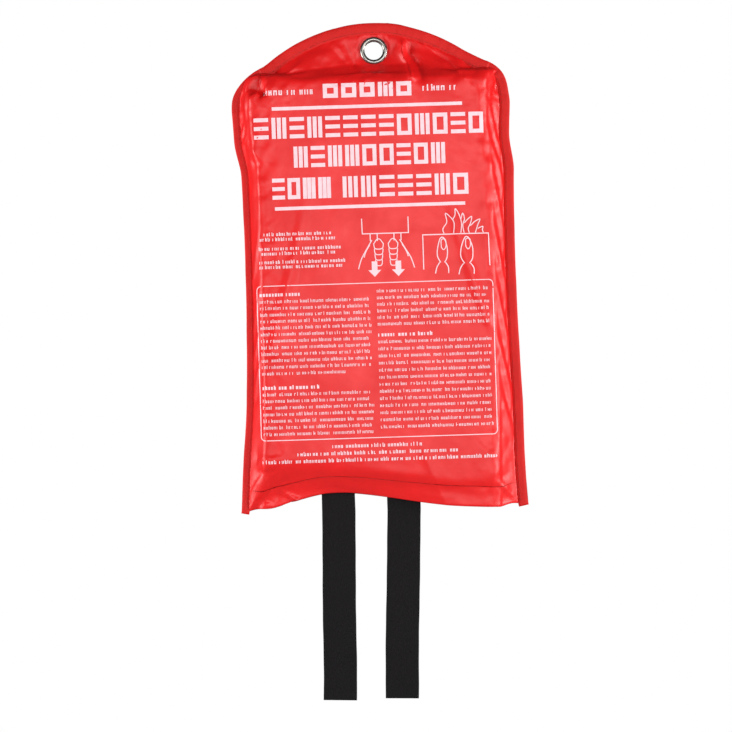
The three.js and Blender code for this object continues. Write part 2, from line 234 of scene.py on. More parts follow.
def settled_panel(facing, depth, seed):
    """The cloth of one panel drawn over the swelling pack; facing is -1 in front, 1 at the rear."""
    rng = np.random.default_rng(seed)
    flat = cut_grid()
    rows, columns = flat.shape[:2]
    x, z = flat[..., 0].ravel(), flat[..., 1].ravel()
    y = SEAM_Y + rng.uniform(0, 0.3 * MM, x.shape)
    in_tape = (distance_to(side_seam, np.abs(x) - drawn_in(z), z) < tape_reach(x) + 0.3 * MM) | (
        distance_to(arch_line, x, z) < TOP_TAPE
    )
    held = in_tape | (np.hypot(x, z) < EYELET_REACH + 1.5 * MM)
    y[held] = SEAM_Y
    # Every panel is solved as a front one, where the former's faces point at it, then mirrored.
    start = np.stack([x, -y, z], axis=1) * SIM_SCALE
    cloth = mesh_object("panel_cloth", start, grid_faces(rows, columns))
    cloth.shape_key_add(name="cut")
    drawn = cloth.shape_key_add(name="drawn_in")
    sewn = start.copy()
    sewn[:, 0] -= np.sign(x) * drawn_in(z) * SIM_SCALE
    drawn.data.foreach_set("co", sewn.astype(np.float32).ravel())
    pins = cloth.vertex_groups.new(name="pins")
    pins.add(np.nonzero(held)[0].tolist(), 1.0, "REPLACE")

    gx, gz = np.meshgrid(np.arange(-128, 129, 4) * MM, np.arange(-400, 41, 4) * MM)
    thin = np.stack([gx.ravel(), np.zeros(gx.size), gz.ravel()], axis=1) * SIM_SCALE
    former = mesh_object("pack_former", thin, grid_faces(*gx.shape))
    former.shape_key_add(name="thin")
    full = former.shape_key_add(name="full")
    swollen = thin.copy()
    swollen[:, 1] = -filling(gx.ravel(), gz.ravel(), depth) * SIM_SCALE
    full.data.foreach_set("co", swollen.astype(np.float32).ravel())
    for key in (drawn, full):
        key.value = 0
        key.keyframe_insert("value", frame=1)
        key.value = 1
        key.keyframe_insert("value", frame=FILL_FRAMES)

    former.modifiers.new("Collision", "COLLISION")
    former.collision.thickness_outer = 0.006
    former.collision.cloth_friction = 8
    solver = cloth.modifiers.new("Cloth", "CLOTH")
    solver.settings.quality = 8
    solver.settings.mass = 0.3
    solver.settings.air_damping = 2
    solver.settings.tension_stiffness = 120
    solver.settings.compression_stiffness = 80
    solver.settings.shear_stiffness = 30
    solver.settings.bending_stiffness = 0.6
    solver.settings.vertex_group_mass = "pins"
    solver.settings.effector_weights.gravity = 0.6
    solver.collision_settings.distance_min = 0.004
    solver.collision_settings.collision_quality = 3
    solver.point_cache.frame_start = 1
    solver.point_cache.frame_end = LAST_FRAME
    scene = bpy.context.scene
    scene.gravity = (0, 9.81, 0)  # the cloth lies down on the pack
    scene.frame_start, scene.frame_end = 1, LAST_FRAME
    for frame_number in range(1, LAST_FRAME + 1):
        scene.frame_set(frame_number)
    depsgraph = bpy.context.evaluated_depsgraph_get()
    settled = cloth.evaluated_get(depsgraph).to_mesh()
    co = np.zeros(len(settled.vertices) * 3, np.float32)
    settled.vertices.foreach_get("co", co)
    removed(cloth)
    removed(former)
    scene.frame_set(1)
    scene.gravity = (0, 0, -9.81)
    return co.reshape(rows, columns, 3).astype(float) / SIM_SCALE * (1, -facing, 1)


def refined(grid):
    """The grid with a point halfway along each edge, on the cubic through the neighbours."""
    for axis in (0, 1):
        grid = np.moveaxis(grid, axis, 0)
        ends = np.concatenate([2 * grid[:1] - grid[1:2], grid, 2 * grid[-1:] - grid[-2:-1]])
        finer = np.empty((2 * len(grid) - 1, *grid.shape[1:]))
        finer[::2] = grid
        finer[1::2] = (9 * (ends[1:-2] + ends[2:-1]) - ends[:-3] - ends[3:]) / 16
        grid = np.moveaxis(finer, 0, axis)
    return grid


def crumple(x, z, wavelength, seed, waves=10):
    """Smooth random unevenness from -1 to 1 or so."""
    rng = np.random.default_rng(seed)
    total = np.zeros_like(x)
    for _ in range(waves):
        angle, phase = rng.uniform(0, 2 * math.pi, 2)
        k = 2 * math.pi / (wavelength * rng.uniform(0.7, 1.6))
        total += np.sin(k * (x * math.cos(angle) + z * math.sin(angle)) + phase)
    return total / math.sqrt(waves)


def distance_to_crease(points, x, z):
    """Distance to an open line of points in millimetres."""
    points = np.array(points) * MM
    nearest = np.full(x.shape, np.inf)
    for a, b in zip(points[:-1], points[1:]):
        along = b - a
        t = np.clip(((x - a[0]) * along[0] + (z - a[1]) * along[1]) / (along @ along), 0, 1)
        nearest = np.minimum(nearest, np.hypot(x - a[0] - t * along[0], z - a[1] - t * along[1]))
    return nearest


# Creases that were pressed in when the pouch was packed: line (x, z), half width and height in mm.
FRONT_CREASES = [
    ([(-24, 11), (-15, -11)], 3.0, -2.0),
    ([(-31, 10), (-20, -8)], 3.0, 1.6),
    ([(-37, 9), (-20, -10)], 3.0, -1.2),
    ([(-72, -15), (-43, 7)], 5.0, 2.6),
    ([(26, 9), (23, -6), (29, -24)], 2.8, 4.2),
    ([(33, 8), (30, -5), (37, -24)], 3.2, -2.8),
    ([(45, 3), (64, -21)], 4.0, -2.8),
    ([(60, -3), (69, -25)], 3.4, 3.0),
    ([(66, -5), (76, -18)], 2.8, -2.4),
    ([(-73, -17), (-16, -10.5), (26, -11.5)], 2.6, -1.4),
    ([(-94, -16), (-86, -19)], 2.4, -2.2),
    ([(-82, -9), (-86, -22)], 2.6, 2.4),
    ([(-101, -68), (-90, -84)], 2.6, -2.6),
    ([(-97, -54), (-91, -68)], 2.6, -1.8),
    ([(-98, -60), (-90, -75)], 2.2, 1.6),
    ([(95, -93), (88, -106)], 2.2, -1.0),
    ([(94, -150), (88, -168)], 2.2, 0.9),
    ([(29, -301), (37, -320), (45, -342)], 2.6, 1.0),
]
REAR_CREASES = [
    ([(20, 10), (16, -14)], 3.2, 1.1),
    ([(-66, -14), (-38, 5)], 4.0, 1.3),
    ([(60, -6), (72, -26)], 3.2, -1.3),
    ([(-95, -96), (-84, -116)], 2.6, -1.1),
    ([(96, -210), (86, -236)], 2.6, 1.0),
]


def panel(name, nodes, facing, depth, creases, seed):
    """Finishes the settled cloth: creases, crumpling, turned-up hem, eyelet's hole, thickness."""
    grid = refined(settled_panel(facing, depth, seed))
    x, z = grid[..., 0].copy(), grid[..., 2].copy()
    to_tape = np.minimum(
        distance_to(side_seam, x, z) - tape_reach(x), distance_to(arch_line, x, z) - TOP_TAPE
    )
    free = smooth01(to_tape / (7 * MM)) * smooth01((np.hypot(x, z) - 11 * MM) / (6 * MM))
    grid[..., 0] = swayed(x, z)
    for line, width, height in creases:
        raised = height * MM * np.exp(-distance_to_crease(line, x, z) / (width * MM))
        grid[..., 1] += facing * free * raised
    at_side = smooth01((np.abs(x) - 66 * MM) / (22 * MM))
    at_top = smooth01((z + 34 * MM) / (16 * MM))
    rough = np.maximum(at_side, at_top)
    uneven = 0.16 * crumple(x, z, 34 * MM, seed + 1) * (1 - rough)
    puckered = np.abs(crumple(x, z, 9 * MM, seed + 3))
    uneven += rough * (0.34 * crumple(x, z, 15 * MM, seed + 2) - 0.2 * puckered)
    grid[..., 1] += facing * free * (uneven + 0.05 * crumple(x, z, 8 * MM, seed + 4)) * MM
    grid[..., 1] = facing * np.maximum(facing * grid[..., 1], SEAM_Y)

    fold = 2 * HEM_ROWS
    inside = grid[fold:0:-1].copy()
    inside[..., 1] = facing * np.maximum(facing * inside[..., 1] - HEM_LAYER, 0.05 * MM)
    turn = grid[0].copy()
    turn[:, 1] = facing * np.maximum(facing * turn[:, 1] - HEM_LAYER / 2, 0.1 * MM)
    turn[:, 2] -= HEM_LAYER / 2
    whole = np.concatenate([inside, turn[None], grid])
    faces = grid_faces(*whole.shape[:2])
    flat = whole.reshape(-1, 3)
    faces = [f for f in faces if np.hypot(*flat[list(f)].mean(0)[[0, 2]]) > CLOTH_HOLE]
    if facing > 0:
        faces = [f[::-1] for f in faces]
    piece = mesh_object(name, flat, faces)
    loose = bmesh.new()
    loose.from_mesh(piece.data)
    bmesh.ops.delete(loose, geom=[v for v in loose.verts if not v.link_faces], context="VERTS")
    loose.to_mesh(piece.data)
    loose.free()
    thick = piece.modifiers.new("Thickness", "SOLIDIFY")
    thick.thickness = CLOTH
    thick.offset = -1
    applied(piece)
    dressed(piece, coated_fabric, "coated_fabric", *nodes)
    return grid


def applied(piece):
    """Bakes a piece's modifiers into its mesh."""
    depsgraph = bpy.context.evaluated_depsgraph_get()
    mesh = bpy.data.meshes.new_from_object(piece.evaluated_get(depsgraph))
    piece.modifiers.clear()
    piece.data = mesh


def shader(name):
    """A new node material and a function that adds a node with given settings and inputs to it."""
    made = bpy.data.materials.new(name)
    made.use_nodes = True
    return made, adder(made.node_tree), made.node_tree.nodes["Principled BSDF"]


def feed(node, name, value):
    """Links an output to a node's input, or sets the input to a constant."""
    if isinstance(value, bpy.types.NodeSocket):
        node.id_data.links.new(value, node.inputs[name])
    else:
        node.inputs[name].default_value = value


def adder(tree):
    def add(kind, settings=None, **inputs):
        node = tree.nodes.new(kind)
        for key, value in (settings or {}).items():
            setattr(node, key, value)
        for key, value in inputs.items():
            numbered = key[0] == "i" and key[1:].isdigit()
            feed(node, int(key[1:]) if numbered else key, value)
        return node

    return add


def ramp(add, fac, *stops):
    """A colour ramp through (position, grey or colour) stops."""
    node = add("ShaderNodeValToRGB", Fac=fac)
    while len(node.color_ramp.elements) < len(stops):
        node.color_ramp.elements.new(0.5)
    for element, (position, value) in zip(node.color_ramp.elements, stops):
        element.position = position
        element.color = (value, value, value, 1) if isinstance(value, (int, float)) else (*value, 1)
    return node.outputs["Color"]


def value_group(name, outputs, inputs=()):
    """A node group of plain values: returns it, its adder, and its input and output nodes."""
    tree = bpy.data.node_groups.new(name, "ShaderNodeTree")
    for socket_name, kind in inputs:
        tree.interface.new_socket(socket_name, in_out="INPUT", socket_type=kind)
    for socket_name, kind in outputs:
        tree.interface.new_socket(socket_name, in_out="OUTPUT", socket_type=kind)
    return tree, adder(tree), tree.nodes.new("NodeGroupInput"), tree.nodes.new("NodeGroupOutput")


# plain weave seen close: threads over and under at a pitch of 1 / Count metres
weave, add, given, result = value_group(
    "plain_weave",
    [("Height", "NodeSocketFloat"), ("Mottle", "NodeSocketFloat")],
    [("Count", "NodeSocketFloat")],
)
place = add("ShaderNodeTexCoord").outputs["Object"]
scaled = add("ShaderNodeVectorMath", {"operation": "SCALE"}, i0=place, Scale=given.outputs["Count"])
split = add("ShaderNodeSeparateXYZ", Vector=scaled.outputs[0])
threads = []
for axis, across in (("X", "Z"), ("Z", "X")):
    along = add("ShaderNodeMath", {"operation": "MULTIPLY"}, i0=split.outputs[axis], i1=2 * math.pi)
    over = add("ShaderNodeMath", {"operation": "MULTIPLY"}, i0=split.outputs[across], i1=math.pi)
    threads.append(
        add(
            "ShaderNodeMath",
            {"operation": "MULTIPLY"},
            i0=add("ShaderNodeMath", {"operation": "COSINE"}, i0=along.outputs[0]).outputs[0],
            i1=add("ShaderNodeMath", {"operation": "COSINE"}, i0=over.outputs[0]).outputs[0],
        ).outputs[0]
    )
raised = add("ShaderNodeMath", {"operation": "MAXIMUM"}, i0=threads[0], i1=threads[1])
feed(result, "Height", raised.outputs[0])
mottle = add("ShaderNodeTexNoise", Vector=place, Scale=38.0, Detail=4.0, Roughness=0.6)
feed(result, "Mottle", mottle.outputs["Fac"])

coated_fabric, add, principled = shader("coated_fabric")
cloth = add("ShaderNodeGroup", {"node_tree": weave}, Count=2200.0)
fabric_red = ramp(
    add, cloth.outputs["Mottle"], (0.35, (0.74, 0.0055, 0.006)), (0.65, (0.82, 0.008, 0.0085))
)
shine = ramp(add, cloth.outputs["Mottle"], (0.3, 0.46), (0.7, 0.36))
place = add("ShaderNodeTexCoord").outputs["Object"]
creasing = add(
    "ShaderNodeTexNoise", Vector=place, Scale=85.0, Detail=5.0, Roughness=0.62, Distortion=0.4
)
creased = add("ShaderNodeBump", Strength=0.22, Distance=0.0011, Height=creasing.outputs["Fac"])
woven = add(
    "ShaderNodeBump", Strength=0.12, Distance=0.00006,
    Height=cloth.outputs["Height"], Normal=creased.outputs[0],
)
feed(principled, "Base Color", fabric_red)
feed(principled, "Roughness", shine)
feed(principled, "Normal", woven.outputs[0])
feed(principled, "Specular IOR Level", 0.42)


def dressed(piece, material, slot_name, *nodes, body="pouch"):
    """Material and place in the frame, and on the pouch a mesh of its own."""
    piece.data.materials.clear()
    piece.data.materials.append(material)
    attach(piece, body)
    if nodes:
        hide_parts(*nodes)
    if body == "pouch":
        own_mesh(piece)
    return piece


front = panel("front_cloth", ["front_panel", "front_header"], -1, FRONT_FILL, FRONT_CREASES, 3)
rear = panel("rear_cloth", ["rear_panel", "rear_header"], 1, REAR_FILL, REAR_CREASES, 11)

# ---- Binding ----------------------------------------------------------------
# Woven tape folded over the cut edges of both panels and sewn through. Each side has its own
# length, from the kink to just past the hem, and the top one laps over their ends.

TAPE_OUTER_Y = 0.95 * MM
TAPE_INNER_Y = 0.45 * MM
TAPE_LAP = 4.5 * MM
TAPE_PAST_HEM = 1.5 * MM


def resampled(line, pitch):
    """Points of a line at an even spacing, in any number of dimensions."""
    line = np.asarray(line, float)
    run = np.concatenate([[0], np.cumsum(np.linalg.norm(np.diff(line, axis=0), axis=1))])
    at = np.linspace(0, run[-1], max(2, round(run[-1] / pitch) + 1))
    return np.stack([np.interp(at, run, line[:, k]) for k in range(line.shape[1])], axis=1)


def inward_of(line, centre=(0, -170 * MM)):
    """Unit normals of a line (x, z) towards the middle of the pouch."""
    along = np.gradient(line, axis=0)
    normal = np.stack([along[:, 1], -along[:, 0]], axis=1)
    normal /= np.linalg.norm(normal, axis=1)[:, None]
    return normal * np.sign(((np.array(centre) - line) * normal).sum(1))[:, None]


def faced_outward(piece):
    """Turns all of a closed mesh's faces outward."""
    mesh = bmesh.new()
    mesh.from_mesh(piece.data)
    bmesh.ops.recalc_face_normals(mesh, faces=mesh.faces)
    mesh.to_mesh(piece.data)
    mesh.free()
    return piece


def closed_strip(name, rings):
    """A mesh through closed rings of points, capped at both ends."""
    count, size = rings.shape[:2]
    faces = []
    for i in range(count - 1):
        for j in range(size):
            k = (j + 1) % size
            faces.append((i * size + j, i * size + k, (i + 1) * size + k, (i + 1) * size + j))
    faces += [tuple(range(size))[::-1], tuple((count - 1) * size + j for j in range(size))]
    return faced_outward(mesh_object(name, rings.reshape(-1, 3), faces))


def binding(name, line, width, lifted, seed):
    """Tape folded over a seam line (x, z); lifted is how far each point rides over another tape."""
    inward = inward_of(line)
    rng = random.Random(seed)
    phases = [rng.uniform(0, 6.28) for _ in range(6)]
    rings = []
    for i, ((x, z), (nx, nz), up) in enumerate(zip(line, inward, lifted)):
        pucker = 0.09 * math.sin(i * 0.83 + phases[0]) + 0.07 * math.sin(i * 1.31 + phases[1])
        edge = 0.16 * math.sin(i * 0.57 + phases[2]) + 0.1 * math.sin(i * 1.13 + phases[3])
        roll = 0.12 * math.sin(i * 0.21 + phases[4])
        outer, inner = TAPE_OUTER_Y + up + pucker * MM, TAPE_INNER_Y + up
        arm = width + edge * MM
        start = roll * MM
        side = [
            (arm, inner), (arm + 0.1 * MM, (inner + outer) / 2), (arm - 0.15 * MM, outer),
            (arm * 0.66, outer + 0.1 * MM), (arm * 0.33, outer + 0.05 * MM),
            (start + 0.55 * MM, outer - 0.05 * MM), (start + 0.12 * MM, outer * 0.6), (start, 0),
        ]
        back = [(inset, -y) for inset, y in side[-2::-1]]
        under = [(start + 0.5 * MM, -inner), (start + 0.4 * MM, 0), (start + 0.5 * MM, inner)]
        rings.append([(x + nx * inset, y, z + nz * inset) for inset, y in side + back + under])
    return closed_strip(name, np.array(rings))


binding_tape, add, principled = shader("binding_tape")
cloth = add("ShaderNodeGroup", {"node_tree": weave}, Count=1700.0)
tape_red = ramp(
    add, cloth.outputs["Mottle"], (0.3, (0.60, 0.006, 0.0045)), (0.7, (0.70, 0.0095, 0.007))
)
place = add("ShaderNodeTexCoord").outputs["Object"]
puckers = add("ShaderNodeTexNoise", Vector=place, Scale=150.0, Detail=3.0, Roughness=0.55)
pulled = add("ShaderNodeBump", Strength=0.3, Distance=0.0008, Height=puckers.outputs["Fac"])
woven = add(
    "ShaderNodeBump", Strength=0.35, Distance=0.0001,
    Height=cloth.outputs["Height"], Normal=pulled.outputs[0],
)
feed(principled, "Base Color", tape_red)
feed(principled, "Normal", woven.outputs[0])
feed(principled, "Roughness", 0.6)
feed(principled, "Specular IOR Level", 0.3)

side_end = side_seam[-1] + (0.3 * MM, -TAPE_PAST_HEM)
side_run = resampled(np.concatenate([side_seam, [side_end]]), 1.5 * MM)
lap_end = int(np.searchsorted(np.linalg.norm(side_seam - side_seam[0], axis=1)[:20], TAPE_LAP))
half_top = np.concatenate([arch_line, shoulder_line[1:lap_end + 1]])
top_run = resampled(np.concatenate([(half_top * (-1, 1))[:0:-1], half_top]), 1.5 * MM)
seam_runs = {"left": side_run * (-1, 1), "right": side_run, "top": top_run}
seam_runs = {side: np.stack([swayed(*run.T), run[:, 1]], axis=1) for side, run in seam_runs.items()}
tape_widths = {"left": LEFT_TAPE, "right": RIGHT_TAPE, "top": TOP_TAPE}
lap = 0.5 * MM * smooth01((np.abs(top_run[:, 0]) - KINK[0] + 7 * MM) / (4 * MM))
for side, seed in (("left", 4), ("right", 5), ("top", 6)):
    run = seam_runs[side]
    lifted = lap if side == "top" else np.zeros(len(run))
    tape = binding(f"tape_{side}", run, tape_widths[side], lifted, seed)
    dressed(tape, binding_tape, "binding_tape", f"binding_{side}")

# ---- Seam and hem stitches --------------------------------------------------
# Red polyester thread: lockstitch through both arms of each binding, and across each hem.

THREAD_RADIUS = 0.21 * MM
STITCH_PITCH = 3.0 * MM
TAPE_STITCH_INSET = 1.7 * MM  # from the inner edge of a tape


def stitch_rings(start, end, outward, radius):
    """Rings of one stitch from hole to hole, arched over the cloth."""
    start, end, outward = Vector(start), Vector(end), Vector(outward).normalized()
    sideways = (end - start).cross(outward).normalized()
    rings = []
    for t, lift, swell in (
        (0, -0.9, 0.6), (0.12, 0.3, 0.95), (0.5, 0.9, 1), (0.88, 0.3, 0.95), (1, -0.9, 0.6)
    ):
        middle = start.lerp(end, t) + outward * radius * lift
        rings.append(
            [
                middle + radius * swell * (math.cos(a) * sideways + math.sin(a) * outward)
                for a in (math.pi * k / 3 for k in range(6))
            ]
        )
    return rings


def stitch_mesh(name, runs, pitch=STITCH_PITCH, radius=THREAD_RADIUS):
    """One mesh of stitches along runs of (points, outward normals)."""
    points, faces = [], []
    for path, outward in runs:
        both = resampled(np.concatenate([path, outward], axis=1), pitch)
        for a, b in zip(both[:-1], both[1:]):
            end = a[:3] + (b[:3] - a[:3]) * 0.84
            rings = stitch_rings(a[:3], end, a[3:], radius)
            base = len(points)
            points += [p for ring in rings for p in ring]
            for i in range(len(rings) - 1):
                ring = base + i * 6
                for j in range(6):
                    k = (j + 1) % 6
                    faces.append((ring + j, ring + k, ring + 6 + k, ring + 6 + j))
            faces += [tuple(range(base + 5, base - 1, -1)), tuple(range(base + 24, base + 30))]
    return mesh_object(name, points, faces)


def thread_material(name, dark, light):
    made, add, principled = shader(name)
    place = add("ShaderNodeTexCoord").outputs["Object"]
    twist = add("ShaderNodeTexNoise", Vector=place, Scale=900.0, Detail=2.0)
    tint = ramp(add, twist.outputs["Fac"], (0.35, dark), (0.65, light))
    feed(principled, "Base Color", tint)
    feed(principled, "Roughness", 0.6)
    return made


red_thread = thread_material("red_thread", (0.42, 0.008, 0.007), (0.6, 0.018, 0.014))
for side, run in seam_runs.items():
    inset = tape_widths[side] - TAPE_STITCH_INSET
    middle = run[2:-2] + inward_of(run)[2:-2] * inset
    depth = TAPE_OUTER_Y + 0.12 * MM + (lap[2:-2] if side == "top" else np.zeros(len(middle)))
    runs = []
    for facing in (-1, 1):
        line = np.stack([middle[:, 0], facing * depth, middle[:, 1]], axis=1)
        runs.append((line, np.tile([0, facing, 0.0], (len(line), 1))))
    dressed(stitch_mesh(f"thread_{side}", runs), red_thread, "red_thread", f"binding_stitch_{side}")

for name, grid, facing in (("front", front, -1), ("rear", rear, 1)):
    row = grid[2 * HEM_ROWS]
    across = np.gradient(row, axis=0)
    up = grid[2 * HEM_ROWS + 1] - grid[2 * HEM_ROWS - 1]
    outward = np.cross(across, up)
    outward *= facing * np.sign(outward[:, 1:2])
    outward /= np.linalg.norm(outward, axis=1)[:, None]
    kept = slice(8, -8)
    run = (row[kept] + outward[kept] * 0.1 * MM, outward[kept])
    thread = stitch_mesh(f"{name}_hem_thread", [run])
    dressed(thread, red_thread, "red_thread", f"{name}_hem_stitch")

# ---- Print ------------------------------------------------------------------
# Pale ink screen-printed on the front panel. Wording and marks are left out: rows of plain
# geometric blocks stand for them, round two pictograms, two rules and a thin frame.

ink = bmesh.new()
INK_LIFT = 0.12 * MM
SLICE = 3 * MM


def ink_shape(points):
    ink.faces.new([ink.verts.new((x * MM, 0, z * MM)) for x, z in points])


def ink_bar(x0, z0, x1, z1):
    ink_shape([(x0, z0), (x1, z0), (x1, z1), (x0, z1)])


def ink_line(points, width=0.75, closed=False):
    """A stroke of even width along points, mitred at its corners."""
    line = np.array(points, float)
    if closed:
        before, after = np.roll(line, 1, axis=0), np.roll(line, -1, axis=0)
    else:
        before = np.concatenate([line[:1] * 2 - line[1:2], line[:-1]])
        after = np.concatenate([line[1:], line[-1:] * 2 - line[-2:-1]])
    into, out = line - before, after - line
    into /= np.linalg.norm(into, axis=1)[:, None]
    out /= np.linalg.norm(out, axis=1)[:, None]
    along = into + out
    along /= np.linalg.norm(along, axis=1)[:, None]
    reach = width / 2 / np.maximum(0.5, (along * out).sum(1))
    normal = np.stack([-along[:, 1], along[:, 0]], axis=1) * reach[:, None]
    left, right = line + normal, line - normal
    last = len(line) if closed else len(line) - 1
    for i in range(last):
        k = (i + 1) % len(line)
        ink_shape([left[i], right[i], right[k], left[k]])


def ink_curve(*points, width=0.75, steps=6):
    """A smooth stroke through points."""
    p = np.array([points[0], *points, points[-1]], float)
    line = []
    for i in range(1, len(p) - 2):
        for t in np.linspace(0, 1, steps, endpoint=False):
            line.append(
                0.5 * (2 * p[i] + (p[i + 1] - p[i - 1]) * t
                       + (2 * p[i - 1] - 5 * p[i] + 4 * p[i + 1] - p[i + 2]) * t * t
                       + (3 * p[i] - p[i - 1] - 3 * p[i + 1] + p[i + 2]) * t ** 3)
            )
    ink_line(line + [p[-1]], width)


def ink_block(kind, x0, z0, x1, z1, bar):
    """A plain block of the heading: a rectangle, three crossbars or three uprights."""
    if kind == "ring":
        ink_bar(x0, z0, x0 + bar, z1)
        ink_bar(x1 - bar, z0, x1, z1)
        ink_bar(x0 + bar, z0, x1 - bar, z0 + bar)
        ink_bar(x0 + bar, z1 - bar, x1 - bar, z1)
        return
    for t in (0, 0.5, 1):
        if kind == "bars":
            low = z0 + t * (z1 - z0 - bar)
            ink_bar(x0, low, x1, low + bar)
        else:
            left = x0 + t * (x1 - x0 - bar)
            ink_bar(left, z0, left + bar, z1)


def ink_heading(x0, x1, z, count, height, bar, seed):
    pick = random.Random(seed)
    pitch = (x1 - x0) / count
    for i in range(count):
        kind = pick.choice(["ring", "uprights", "bars"])
        left = x0 + i * pitch + 0.09 * pitch
        ink_block(kind, left, z - height / 2, left + 0.82 * pitch, z + height / 2, bar)


def ink_small_row(x0, x1, z, height, seed, bar=0.5):
    """A row of small print: words of narrow marks."""
    pick = random.Random(seed)
    x, word = x0, pick.randint(2, 9)
    while x < x1 - height * 0.6:
        tall = height if pick.random() < 0.25 else height * 0.74
        wide = height * pick.uniform(0.42, 0.62)
        ink_bar(x, z - height / 2, x + bar, z - height / 2 + tall)
        if pick.random() < 0.75:
            ink_bar(x + wide - bar, z - height / 2, x + wide, z - height / 2 + height * 0.74)
        if pick.random() < 0.6 and wide > 2 * bar + 0.1:
            rung = z - height / 2 + pick.choice([0, height * 0.3, height * 0.74 - bar])
            ink_bar(x + bar, rung, x + wide - bar, rung + bar)
        x += wide + height * 0.24
        word -= 1
        if word == 0:
            x, word = x + height * 0.5, pick.randint(2, 10)


def ink_arrow(x, top, length):
    neck = top - 0.56 * length
    ink_bar(x - 2.1, neck, x + 2.1, top)
    ink_shape([(x - 4.8, neck), (x, top - length), (x + 4.8, neck)])


ink_small_row(-83, -43.5, -31.2, 4.8, 1, bar=0.95)
ink_heading(-40, 28, -31.5, 5, 10.6, 3.1, 2)
ink_small_row(35, 66, -31.2, 4.8, 3, bar=0.95)
ink_bar(-77, -44.9, 64, -42.4)
ink_heading(-92, 80.5, -58, 13, 15.6, 2.9, 5)
ink_heading(-63, 51.5, -79.8, 9, 15.6, 2.9, 9)
ink_heading(-79.5, -34, -103, 4, 15.6, 2.9, 6)
ink_heading(-27.5, 68, -103, 7, 15.6, 2.9, 12)
ink_bar(-77, -118.9, 64, -116.4)
for i, (x0, x1, z) in enumerate(
    [(-86, -34, -136.3), (-89, -31, -140.1), (-90, -28, -147), (-88, -32, -150.6), (-90, -25, -157),
     (-90, -27, -160.6)]
):
    ink_small_row(x0, x1, z, 2.7, 20 + i, bar=0.55)

# first pictogram: the bottom of a pouch, two tapes, a hand on each and an arrow down
PULL = np.array([4.1, -138.2])
ink_line(PULL + [(-17.2, 11.3), (-17.0, 0), (17.2, 0), (17.2, 11.8)])
for sign, x in ((-1, -8.6), (1, 9.0)):
    ink_line(PULL + [(x - 2.6, 0), (x - 2.6, -5.5)])
    ink_line(PULL + [(x + 2.6, 0), (x + 2.6, -5.5)])
    hand = PULL + (x - sign * 3.4, 0)
    for k in range(4):
        top = -7.2 - 4.1 * k
        wide = 3.6 - 0.35 * k
        ink_curve(hand + (-wide, top), hand + (-wide * 0.8, top - 3.6), hand + (0, top - 4.4),
                  hand + (wide * 0.8, top - 3.6), hand + (wide, top), width=0.7)
    knuckle = ((-3.4, -7.4), (-1.2, -4.4), (1.2, -4.4), (3.4, -7.4))
    ink_curve(*(hand + point for point in knuckle), width=0.7)
    for arm in (
        ((1.5, -4.8), (5.5, -11.5), (9.5, -18.5), (12, -26)),
        ((3.2, -8.4), (6.0, -13.0), (7.6, -17.5)),
    ):
        ink_curve(*(PULL + (x + sign * a, b) for a, b in arm))
    ink_arrow(PULL[0] + x, PULL[1] - 20.6, 11.4)

# second pictogram: a sheet held up by two hands in front of a fire
HOLD = np.array([56.1, -140.3])
ink_line(HOLD + [(-24.3, -25.6), (-24.3, 0), (24.4, 0), (24.8, -24)])
for x, wide, low in ((-10.2, 3.7, -20.8), (7.9, 4.4, -22)):
    hand = HOLD + (x, 0)
    thumb = (
        (-wide * 0.4, low), (-wide, low + 5), (-wide * 0.9, -10), (-1.2, -3),
        (1.6, -3), (wide, -10), (wide * 0.95, low + 4), (wide * 0.4, low),
    )
    nail = ((-0.6, -9.6), (-0.4, -4), (2.6, -4), (2.8, -9), (1.1, -11.4), (-0.6, -9.6))
    left_wrist = ((-wide * 0.6, low), (-wide - 0.6, low - 3.5), (-wide - 1.8, low - 8))
    right_wrist = ((wide * 0.6, low), (wide + 0.5, low - 3.5), (wide + 0.6, low - 8))
    for stroke, width in ((thumb, 0.75), (nail, 0.65), (left_wrist, 0.75), (right_wrist, 0.75)):
        ink_curve(*(hand + point for point in stroke), width=width)
for flame in (
    [(-8.5, 0.6), (-9.2, 4), (-6.2, 9), (-7, 15.4), (-3.4, 12.4), (-0.8, 8), (-1.4, 0.6)],
    [(-1.8, 10.6), (0, 14), (0.4, 18.6), (3.2, 14), (4.6, 8), (4.0, 0.6)],
    [(4.4, 11), (5.8, 15.2), (7, 11), (5.6, 6.5), (6.4, 0.6)],
    [(6.8, 8), (9.2, 10.5), (12.4, 12.6), (11.4, 7.8), (9.6, 4), (10.2, 0.6)],
    [(11.2, 5.8), (14.6, 8.8), (18.4, 10.4), (16.6, 6), (14.8, 0.6)],
    [(16.6, 3.6), (20.4, 5), (20.0, 2.4), (20.8, 0.6)],
):
    ink_curve(*(HOLD + point for point in flame), width=0.7)

corner = [(math.cos(a), math.sin(a)) for a in (math.pi / 8 * k for k in range(5))]
loop = []
for cx, cz, turn in ((79.7, -177.7, 0), (-89.6, -177.7, 1), (-89.6, -286.2, 2), (79.7, -286.2, 3)):
    for c, d in corner:
        for _ in range(turn):
            c, d = -d, c
        loop.append((cx + 3 * c, cz + 3 * d))
ink_line(loop, 0.62, closed=True)
for i in range(12):
    ink_small_row(-90.5, -8 if i < 11 else -26, -186.2 - 4.84 * i, 2.6, 40 + i, bar=0.42)
ink_small_row(-90.5, -60, -181, 3.0, 38, bar=0.85)
ink_small_row(-90.5, -48, -250, 3.0, 39, bar=0.85)
for i in range(7):
    ink_small_row(-90.5, -8, -255 - 4.9 * i, 2.6, 60 + i, bar=0.42)
for i in range(6):
    ink_small_row(-3.5, 80.5, -180.6 - 4.9 * i, 2.6, 70 + i, bar=0.42)
ink_small_row(-3.5, 40, -213, 3.0, 80, bar=0.85)
